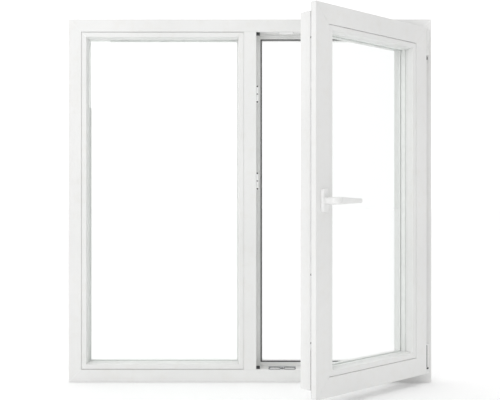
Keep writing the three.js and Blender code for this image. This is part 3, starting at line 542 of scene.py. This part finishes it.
def add_lever():
    """Round neck that bends into a flat grip, which tapers to a rounded tip."""
    rosette_low, rosette_high = shut_box("handle_rosette")
    lever_low, lever_high = shut_box("handle_lever")
    axis_x = (rosette_low.x + rosette_high.x) / 2
    axis_z = (rosette_low.z + rosette_high.z) / 2
    grip_y = lever_low.y + LEVER_HALF_THICKNESS
    root_half_height = (lever_high.z - lever_low.z) / 2
    rings = []
    for t in LEVER_NECK_STAGES:
        center = Vector((axis_x, blend(lever_high.y, grip_y + LEVER_BEND, t), axis_z))
        half_height = blend(LEVER_NECK, root_half_height, t)
        rings.append(oval(center, ALONG_X, half_height, LEVER_NECK, LEVER_NECK_POWER))
    for step in range(LEVER_BEND_STEPS + 1):
        t = step / LEVER_BEND_STEPS
        angle = t * math.pi / 2
        x = axis_x + LEVER_BEND * (1 - math.cos(angle))
        y = grip_y + LEVER_BEND * (1 - math.sin(angle))
        normal = Vector((math.cos(angle), math.sin(angle), 0))
        thickness = blend(LEVER_NECK, LEVER_HALF_THICKNESS, t)
        power = blend(LEVER_NECK_POWER, LEVER_GRIP_POWER, t)
        rings.append(oval(Vector((x, y, axis_z)), normal, root_half_height, thickness, power))
    grip_start = axis_x + LEVER_BEND
    grip_end = lever_high.x - LEVER_TIP_LENGTH
    for step in range(1, LEVER_GRIP_STEPS + 1):
        t = step / LEVER_GRIP_STEPS
        center = Vector((blend(grip_start, grip_end, t), grip_y, axis_z))
        height = blend(root_half_height, LEVER_TIP_HALF_HEIGHT, t)
        thickness = blend(LEVER_HALF_THICKNESS, LEVER_TIP_HALF_THICKNESS, t)
        rings.append(oval(center, ALONG_Y, height, thickness, LEVER_GRIP_POWER))
    for step in range(1, LEVER_TIP_STEPS + 1):
        lean = LEVER_TIP_LEAN * step / LEVER_TIP_STEPS
        shrink = blend(1, math.cos(lean), LEVER_TIP_BLUNTNESS)
        center = Vector((grip_end + LEVER_TIP_LENGTH * math.sin(lean), grip_y, axis_z))
        height = LEVER_TIP_HALF_HEIGHT * shrink
        thickness = LEVER_TIP_HALF_THICKNESS * shrink
        rings.append(oval(center, ALONG_Y, height, thickness, LEVER_GRIP_POWER))
    lever = build_piece("handle_lever_moulded", skin_rings(rings), "white_hardware", "handle")
    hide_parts("handle_lever")


add_lever()

ROSETTE_STEPS = 64
ROSETTE_POWER = 4
ROSETTE_WALL_SHARE = 0.35
ROSETTE_CROWN_SHARE = 0.5
ROSETTE_CROWN_INSET = 0.36
CROWN_STEPS = 8
COLLAR_RADIUS = 12 * MM
COLLAR_HEIGHT = 1.6 * MM
COLLAR_WALL = 1.2 * MM
COLLAR_CHAMFER = 0.8 * MM


def add_rosette():
    """Crowned cover with a raised collar round the lever's neck."""
    low, high = shut_box("handle_rosette")
    center = (low + high) / 2
    half_width = (high.x - low.x) / 2
    half_height = (high.z - low.z) / 2
    depth = high.y - low.y
    outline = superellipse(ROSETTE_STEPS, ROSETTE_POWER)

    def ring(shrink, y):
        width = half_width - shrink
        height = half_height - shrink
        return [
            (center.x + width * across, y, center.z + height * upwards)
            for across, upwards in outline
        ]

    rings = [ring(0, high.y), ring(0, high.y - ROSETTE_WALL_SHARE * depth)]
    for step in range(1, CROWN_STEPS + 1):
        lean = math.pi / 2 * step / CROWN_STEPS
        shrink = ROSETTE_CROWN_INSET * half_width * (1 - math.cos(lean))
        rise = ROSETTE_WALL_SHARE + ROSETTE_CROWN_SHARE * math.sin(lean)
        rings.append(ring(shrink, high.y - depth * rise))
    cover = build_piece("handle_rosette_cover", skin_rings(rings), "white_hardware", "sash")
    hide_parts("handle_rosette")
    collar = (
        (COLLAR_RADIUS, 0),
        (COLLAR_RADIUS, COLLAR_WALL),
        (COLLAR_RADIUS - COLLAR_CHAMFER, COLLAR_HEIGHT),
    )
    crown_y = high.y - (ROSETTE_WALL_SHARE + ROSETTE_CROWN_SHARE) * depth
    place = SHUT_TO_REST @ facing((center.x, crown_y, center.z), TO_ROOM)
    build_piece("handle_collar", turned(collar), "white_hardware", "sash", place)


add_rosette()

# ---------------------------------------------------------------- rebate seal

BULB_WIDTH = 4.2 * MM
BULB_FULLNESS = 1.05
BULB_STEPS = 10


def sweep_frame(low, high, section):
    """Skin of a section carried round an upright rectangle with mitred corners.

    Each section point is (inwards, depth), from the rectangle's edge and its front.
    """
    rings = []
    for x, z, dx, dz in (
        (low.x, low.z, 1, 1),
        (high.x, low.z, -1, 1),
        (high.x, high.z, -1, -1),
        (low.x, high.z, 1, -1),
    ):
        ring = [(x + dx * inward, low.y + depth, z + dz * inward) for inward, depth in section]
        rings.append(ring)
    return skin_rings(rings, wrap=True)


def add_rebate_seal():
    """Bulb of the gasket round the opening light, swept with mitred corners."""
    low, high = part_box("frame_gasket")
    depth = high.y - low.y
    bulb = []
    for step in range(BULB_STEPS + 1):
        a = math.pi * step / BULB_STEPS
        inward = BULB_WIDTH / 2 * (1 - math.cos(a))
        bulb.append((inward, depth * (1 - math.sin(a) * BULB_FULLNESS)))
    skin = sweep_frame(low, high, bulb)
    seal = build_piece("frame_gasket_bulb", skin, "dark_seal", "frame", IN_PLACE)
    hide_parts("frame_gasket")


add_rebate_seal()

# ---------------------------------------------------------------- screws

SCREW_STEPS = 32
SCREW_PROUD = 0.1 * MM
# Rings of the head from its shank to its rim, as (reach, height) in head radii.
SCREW_RIM = ((0.5, -0.6), (1, -0.05), (1, 0.02))
SCREW_FACE = 0.94
CROSS_MOUTH = 0.64
CROSS_FLOOR = 0.5
CROSS_DEPTH = 0.5
CROSS_WAIST = 0.35
CROSS_SHARPNESS = 3


def add_screw(name, radius, place, body):
    """Countersunk screw head with a cross recess, standing just proud."""

    def ring(reach, height, cross=False):
        points = []
        for a in circle_angles(SCREW_STEPS):
            arm = abs(math.cos(2 * a)) ** CROSS_SHARPNESS
            lobe = CROSS_WAIST + (1 - CROSS_WAIST) * arm if cross else 1
            points.append((reach * lobe * math.cos(a), reach * lobe * math.sin(a), height))
        return points

    rings = [ring(reach * radius, height * radius) for reach, height in SCREW_RIM]
    rings.append(ring(SCREW_FACE * radius, SCREW_PROUD))
    rings.append(ring(CROSS_MOUTH * radius, SCREW_PROUD, cross=True))
    rings.append(ring(CROSS_FLOOR * radius, -CROSS_DEPTH * radius, cross=True))
    # The whole head is near-black steel: painted shade standing in for the shadow in its recess.
    build_piece(name, skin_rings(rings), "dark_steel", body, place)


PLATE_SCREW_HEAD = 3.4 * MM
PLATE_SCREW_MARGIN = 0.2 * MM
# Heights above the faceplate's foot.
PLATE_SCREW_HEIGHTS = (20 * MM, 217 * MM, 752 * MM, 900 * MM)
ADJUSTER_SHARE = 0.36
MULLION_STRIKERS = ("mullion_striker_upper", "mullion_striker_middle")


def add_hardware_screws():
    """Fixing screws of the lock faceplate, and the adjusters of the mullion strikers."""
    plate_low, plate_high = shut_box("lock_faceplate")
    screw_y = plate_high.y - PLATE_SCREW_HEAD - PLATE_SCREW_MARGIN
    for i, height in enumerate(PLATE_SCREW_HEIGHTS):
        location = (plate_low.x, screw_y, plate_low.z + height)
        place = SHUT_TO_REST @ facing(location, TO_LOCK_SIDE)
        add_screw(f"lock_plate_screw_{i}", PLATE_SCREW_HEAD, place, "sash")
    for name in MULLION_STRIKERS:
        low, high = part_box(name)
        width = high.x - low.x
        place = facing((low.x + width / 2, low.y, (low.z + high.z) / 2), TO_ROOM)
        add_screw(f"{name}_adjuster", ADJUSTER_SHARE * width, place, "frame")


add_hardware_screws()

# ---------------------------------------------------------------- tilt keeper

STADIUM_STEPS = 12
POCKET_OFFSET = 0.27
POCKET_HALF_LENGTH = 0.22
POCKET_RIM = 1.6 * MM
POCKET_PROUD = 0.6 * MM
TONGUE_HALF_LENGTH = 0.16
TONGUE_HEIGHT_SHARE = 0.5
TONGUE_RIM = 1.4 * MM
TONGUE_PROUD = 0.4 * MM
KEEPER_SCREW_SHARE = 0.4


def stadium(half_length, half_height):
    """Points of a lying stadium outline in the XZ plane."""
    points = []
    for side in (1, -1):
        for i in range(STADIUM_STEPS + 1):
            a = side * math.pi / 2 - math.pi * i / STADIUM_STEPS
            middle = side * (half_length - half_height)
            points.append((middle + half_height * math.cos(a), half_height * math.sin(a)))
    return points


def add_pocket(name, center, half_length, half_height, slot_name, rim, proud):
    """Rim of a pocket in the XZ plane, open in the middle, standing proud towards the room."""
    outer = stadium(half_length, half_height)
    inner = stadium(half_length - rim, half_height - rim)

    def ring(outline, y):
        return [(center.x + x, center.y + y, center.z + z) for x, z in outline]

    rings = [ring(outer, 0), ring(outer, -proud), ring(inner, -proud), ring(inner, 0)]
    build_piece(name, skin_rings(rings, wrap=True), slot_name, "frame", IN_PLACE)


def add_keeper_details():
    """Two rimmed pockets on the tilt keeper, each with a silver tongue, and a screw between. The
    dark rims are painted shade for the shadow round each pocket.
    """
    low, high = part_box("tilt_keeper")
    length = high.x - low.x
    height = high.z - low.z
    half_height = height / 2
    middle_x = (low.x + high.x) / 2
    middle_z = low.z + half_height
    for tag, side in (("left", -1), ("right", 1)):
        center = Vector((middle_x + side * POCKET_OFFSET * length, low.y, middle_z))
        # Dark rim: painted shade along the pocket's edges.
        add_pocket(
            f"keeper_pocket_{tag}",
            center,
            POCKET_HALF_LENGTH * length,
            half_height,
            "dark_seal",
            POCKET_RIM,
            POCKET_PROUD,
        )
        add_pocket(
            f"keeper_tongue_{tag}",
            center,
            TONGUE_HALF_LENGTH * length,
            TONGUE_HEIGHT_SHARE * half_height,
            "bright_steel",
            TONGUE_RIM,
            TONGUE_PROUD,
        )
    place = facing((middle_x, low.y, middle_z), TO_ROOM)
    add_screw("keeper_screw", KEEPER_SCREW_SHARE * height, place, "frame")


add_keeper_details()

# ---------------------------------------------------------------- striker stops

STOP_STEPS = 24
STOP_CLEARANCE = 2.6 * MM
STOP_SUNK = 1 * MM
# (share of the striker's half width, height) from the stop's root to its face
STOP_PROFILE = ((0.65, -4 * MM), (0.72, -1 * MM), (0.6, 0))


def add_striker_stops():
    """Dark end stops below and above each striker on the mullion."""
    for name in MULLION_STRIKERS:
        low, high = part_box(name)
        half_width = (high.x - low.x) / 2
        skin = turned([(half_width * share, h) for share, h in STOP_PROFILE], STOP_STEPS)
        for tag, z in (("low", low.z - STOP_CLEARANCE), ("high", high.z + STOP_CLEARANCE)):
            place = facing((low.x + half_width, low.y + STOP_SUNK, z), TO_ROOM)
            build_piece(f"{name}_stop_{tag}", skin, "dark_seal", "frame", place)


add_striker_stops()

# ---------------------------------------------------------------- camera, light and floor

CAMERA_DISTANCE = 2.905
CAMERA_SENSOR_WIDTH = 36
CAMERA_LENS = 63.2
CAMERA_SHIFT = 0.00134
KEY_LIGHT_PLACE = Vector((-1.7, -3.6, 2.0))
KEY_LIGHT_TARGET = Vector((0.1, 0, 0.5))
KEY_LIGHT_SIDE = 1.4
KEY_LIGHT_POWER = 22
FLOOR_REACH = 60.0
FLOOR_DROP = 1 * MM
# World strength along each axis: (axis, from, to, strength at from, strength at to). It is dimmer
# to the right and on the room side, and brighter overhead.
WORLD_FADES = (
    ("X", 0.2, 0.9, 1.0, 0.62),
    ("Y", -0.3, 0.5, 0.81, 1.12),
    ("Z", 0.5, 1.0, 1.0, 1.45),
)


def add_camera():
    """Square on to the window, at the height of its middle."""
    low, high = cad_box
    room_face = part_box("frame_sill")[0].y
    data = bpy.data.cameras.new("camera")
    data.sensor_width = CAMERA_SENSOR_WIDTH
    data.lens = CAMERA_LENS
    data.shift_y = CAMERA_SHIFT
    camera = bpy.data.objects.new("camera", data)
    camera.location = (0, room_face - CAMERA_DISTANCE, (low.z + high.z) / 2)
    camera.rotation_euler = (math.pi / 2, 0, 0)
    bpy.context.scene.collection.objects.link(camera)
    bpy.context.scene.camera = camera


def add_world():
    world = bpy.data.worlds.new("studio")
    bpy.context.scene.world = world
    world.use_nodes = True
    tree = world.node_tree
    background = tree.nodes["Background"]
    background.inputs["Color"].default_value = (1, 1, 1, 1)
    direction = tree.nodes.new("ShaderNodeSeparateXYZ")
    coords = tree.nodes.new("ShaderNodeTexCoord")
    tree.links.new(coords.outputs["Generated"], direction.inputs["Vector"])
    strength = None
    for axis, from_min, from_max, to_min, to_max in WORLD_FADES:
        fade = tree.nodes.new("ShaderNodeMapRange")
        fade.inputs["From Min"].default_value = from_min
        fade.inputs["From Max"].default_value = from_max
        fade.inputs["To Min"].default_value = to_min
        fade.inputs["To Max"].default_value = to_max
        tree.links.new(direction.outputs[axis], fade.inputs["Value"])
        faded = fade.outputs["Result"]
        if strength is not None:
            product = tree.nodes.new("ShaderNodeMath")
            product.operation = "MULTIPLY"
            tree.links.new(strength, product.inputs[0])
            tree.links.new(faded, product.inputs[1])
            faded = product.outputs["Value"]
        strength = faded
    tree.links.new(strength, background.inputs["Strength"])


def add_floor():
    mesh = bpy.data.meshes.new("floor")
    corners = [
        (x * FLOOR_REACH, y * FLOOR_REACH, 0) for x, y in ((-1, -1), (1, -1), (1, 1), (-1, 1))
    ]
    mesh.from_pydata(corners, [], [(0, 1, 2, 3)])
    floor = bpy.data.objects.new("floor", mesh)
    floor.location.z = -FLOOR_DROP
    surface = Surface(
        "pale_floor",
        (0.9, 0.9, 0.9),
        0.8,
        Specular_IOR_Level=0.1,
        Emission_Color=(1, 1, 1, 1),
        Emission_Strength=0.08,
    )
    clouds = surface.noise(scale=1.5, detail=2)
    surface.color(surface.ramp(clouds, (0.895, 0.895, 0.895), (0.905, 0.905, 0.905)))
    mesh.materials.append(surface.material)
    bpy.context.scene.collection.objects.link(floor)


def add_key_light():
    """Large soft light from the upper left of the room."""
    data = bpy.data.lights.new("key", "AREA")
    data.shape = "SQUARE"
    data.size = KEY_LIGHT_SIDE
    data.energy = KEY_LIGHT_POWER
    light = bpy.data.objects.new("key", data)
    light.location = KEY_LIGHT_PLACE
    aim = KEY_LIGHT_TARGET - KEY_LIGHT_PLACE
    light.rotation_euler = aim.to_track_quat("-Z", "Y").to_euler()
    bpy.context.scene.collection.objects.link(light)


bpy.context.scene.view_settings.view_transform = "Standard"
add_camera()
add_world()
add_floor()
add_key_light()
